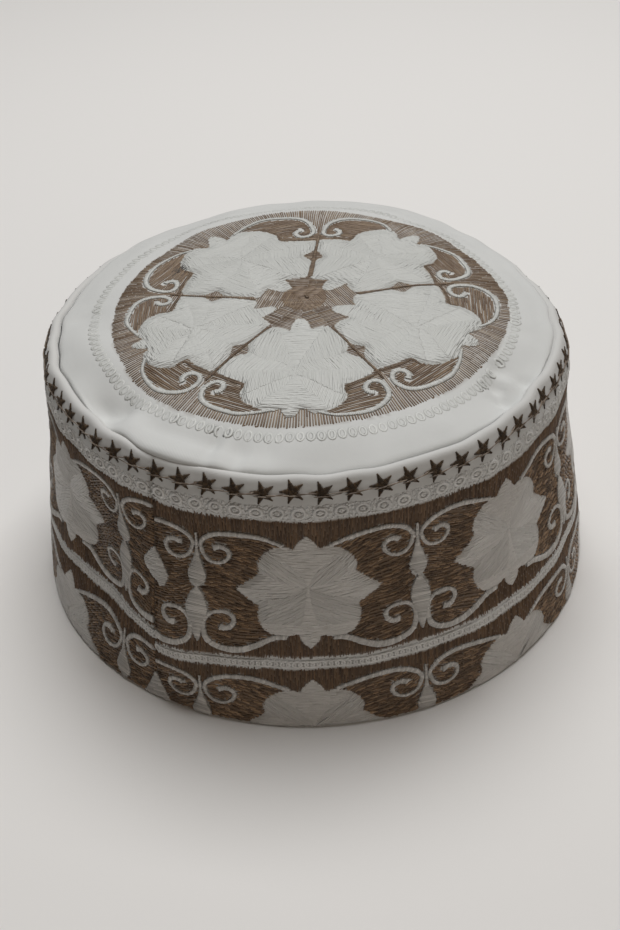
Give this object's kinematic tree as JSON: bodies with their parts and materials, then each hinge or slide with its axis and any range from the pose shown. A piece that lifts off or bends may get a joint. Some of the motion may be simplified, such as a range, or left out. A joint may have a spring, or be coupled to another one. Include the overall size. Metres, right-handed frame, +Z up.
{
  "type": "prayer cap",
  "caption": "Round embroidered prayer cap with a flared stiff side band, a rolled rim and a domed cloth crown, open below for the head.",
  "frame": {"origin": "centre of the round bottom edge, on the surface that the cap rests on", "axes": "+Z up through the crown, -Y towards the front of the cap, +X towards the viewer's right"},
  "size_m": [0.1868, 0.1868, 0.0945],
  "materials": {
    "embroidered_cotton": "white cotton covered in matt dark brown and satin cream thread",
    "white_cotton": "smooth plain white cotton, matt, with brown and cream embroidery"
  },
  "bodies": {
    "root": {"side_band": "embroidered_cotton", "crown_panel": "white_cotton"}
  },
  "joints": []
}
